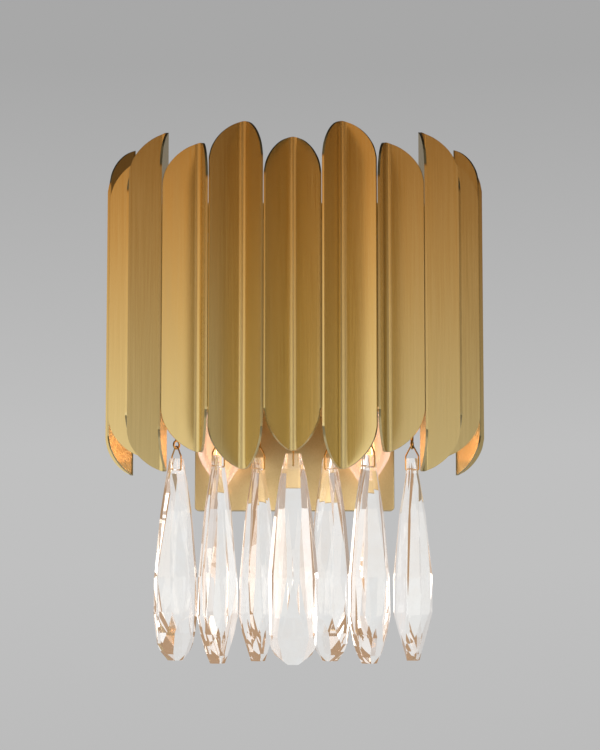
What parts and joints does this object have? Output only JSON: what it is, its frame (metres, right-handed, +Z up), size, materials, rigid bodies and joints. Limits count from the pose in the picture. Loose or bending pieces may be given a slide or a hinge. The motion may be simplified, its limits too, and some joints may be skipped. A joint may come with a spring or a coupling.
{
  "type": "wall sconce",
  "caption": "Wall light with a half ring of folded brass leaves, candle bulbs pointing down and cut crystal drops on wire bails.",
  "frame": {"origin": "on the wall, midway between the two screw slots of the mounting strap", "axes": "+Z up, +Y into the wall, +X to the right for someone who faces the light"},
  "size_m": [0.3054, 0.165, 0.4078],
  "materials": {
    "brushed_brass": "brushed lengthwise, satin lacquer",
    "satin_gold": "satin lacquer",
    "painted_frame": "gold paint",
    "zinc_steel": "zinc plated",
    "green_screw": "green lacquer",
    "white_plastic": "moulded",
    "black_plastic": "moulded",
    "lead_sleeve": "sleeved",
    "gold_wire": "bright",
    "lead_crystal": "cut and polished",
    "bulb_glass": "clear",
    "nickel_cap": "nickel plated",
    "filament": "glowing wire"
  },
  "bodies": {
    "fixture": {"arm_nuts": "zinc_steel", "cap_nuts": "satin_gold", "crystal_carrier": "painted_frame", "drop_eyes": "gold_wire", "earth_screw": "green_screw", "eye_nuts": "zinc_steel", "frame_nuts": "zinc_steel", "frame_screws": "zinc_steel", "lamp_leads": "lead_sleeve", "lead_bushings": "black_plastic", "leaf_01": "brushed_brass", "leaf_02": "brushed_brass", "leaf_03": "brushed_brass", "leaf_04": "brushed_brass", "leaf_05": "brushed_brass", "leaf_06": "brushed_brass", "leaf_07": "brushed_brass", "leaf_08": "brushed_brass", "leaf_09": "brushed_brass", "leaf_10": "brushed_brass", "leaf_11": "brushed_brass", "leaf_nuts": "zinc_steel", "leaf_studs": "zinc_steel", "left_lamp_arm": "satin_gold", "left_lampholder": "white_plastic", "left_socket_cup": "satin_gold", "lower_hoop": "painted_frame", "mounting_strap": "zinc_steel", "right_lamp_arm": "satin_gold", "right_lampholder": "white_plastic", "right_socket_cup": "satin_gold", "strap_studs": "zinc_steel", "terminal_block": "white_plastic", "upper_hoop": "painted_frame", "wall_plate": "satin_gold"},
    "left_bulb": {"left_bulb_glass": "bulb_glass", "left_bulb_cap": "nickel_cap", "left_filament": "filament"},
    "right_bulb": {"right_bulb_glass": "bulb_glass", "right_bulb_cap": "nickel_cap", "right_filament": "filament"},
    "bail_1": {"bail_1": "gold_wire"},
    "crystal_1": {"crystal_1": "lead_crystal"},
    "bail_2": {"bail_2": "gold_wire"},
    "crystal_2": {"crystal_2": "lead_crystal"},
    "bail_3": {"bail_3": "gold_wire"},
    "crystal_3": {"crystal_3": "lead_crystal"},
    "bail_4": {"bail_4": "gold_wire"},
    "crystal_4": {"crystal_4": "lead_crystal"},
    "bail_5": {"bail_5": "gold_wire"},
    "crystal_5": {"crystal_5": "lead_crystal"},
    "bail_6": {"bail_6": "gold_wire"},
    "crystal_6": {"crystal_6": "lead_crystal"},
    "bail_7": {"bail_7": "gold_wire"},
    "crystal_7": {"crystal_7": "lead_crystal"}
  },
  "joints": [
    {"name": "left_bulb_out", "type": "slide", "parent": "fixture", "child": "left_bulb", "axis": [0, 0, -1], "range_m": [0, 0.014]},
    {"name": "right_bulb_out", "type": "slide", "parent": "fixture", "child": "right_bulb", "axis": [0, 0, -1], "range_m": [0, 0.014]},
    {"name": "sway_1", "type": "hinge", "parent": "fixture", "child": "bail_1", "pos_m": [-0.0932, -0.04388, -0.0765], "axis": [0.682, 0.7314, 0], "range_deg": [-6, 6]},
    {"name": "swing_1", "type": "hinge", "parent": "bail_1", "child": "crystal_1", "pos_m": [-0.0932, -0.04388, -0.0935], "axis": [-0.7314, 0.682, 0], "range_deg": [-6, 6]},
    {"name": "sway_2", "type": "hinge", "parent": "fixture", "child": "bail_2", "pos_m": [-0.0576, -0.09288, -0.0765], "axis": [0.4226, 0.9063, 0], "range_deg": [-6, 6]},
    {"name": "swing_2", "type": "hinge", "parent": "bail_2", "child": "crystal_2", "pos_m": [-0.0576, -0.09288, -0.0935], "axis": [-0.9063, 0.4226, 0], "range_deg": [-6, 6]},
    {"name": "sway_3", "type": "hinge", "parent": "fixture", "child": "bail_3", "pos_m": [-0.028, -0.055, -0.0765], "axis": [0.3746, 0.9272, 0], "range_deg": [-6, 6]},
    {"name": "swing_3", "type": "hinge", "parent": "bail_3", "child": "crystal_3", "pos_m": [-0.028, -0.055, -0.0935], "axis": [-0.9272, 0.3746, 0], "range_deg": [-6, 6]},
    {"name": "sway_4", "type": "hinge", "parent": "fixture", "child": "bail_4", "pos_m": [0, -0.1116, -0.0765], "axis": [1, 0, 0], "range_deg": [-6, 6]},
    {"name": "swing_4", "type": "hinge", "parent": "bail_4", "child": "crystal_4", "pos_m": [0, -0.1116, -0.0935], "axis": [0, 1, 0], "range_deg": [-6, 6]},
    {"name": "sway_5", "type": "hinge", "parent": "fixture", "child": "bail_5", "pos_m": [0.028, -0.055, -0.0765], "axis": [0.6561, -0.7547, 0], "range_deg": [-6, 6]},
    {"name": "swing_5", "type": "hinge", "parent": "bail_5", "child": "crystal_5", "pos_m": [0.028, -0.055, -0.0935], "axis": [0.7547, 0.6561, 0], "range_deg": [-6, 6]},
    {"name": "sway_6", "type": "hinge", "parent": "fixture", "child": "bail_6", "pos_m": [0.0576, -0.09288, -0.0765], "axis": [0.5592, 0.829, 0], "range_deg": [-6, 6]},
    {"name": "swing_6", "type": "hinge", "parent": "bail_6", "child": "crystal_6", "pos_m": [0.0576, -0.09288, -0.0935], "axis": [-0.829, 0.5592, 0], "range_deg": [-6, 6]},
    {"name": "sway_7", "type": "hinge", "parent": "fixture", "child": "bail_7", "pos_m": [0.0932, -0.04388, -0.0765], "axis": [0.2756, 0.9613, 0], "range_deg": [-6, 6]},
    {"name": "swing_7", "type": "hinge", "parent": "bail_7", "child": "crystal_7", "pos_m": [0.0932, -0.04388, -0.0935], "axis": [-0.9613, 0.2756, 0], "range_deg": [-6, 6]}
  ]
}
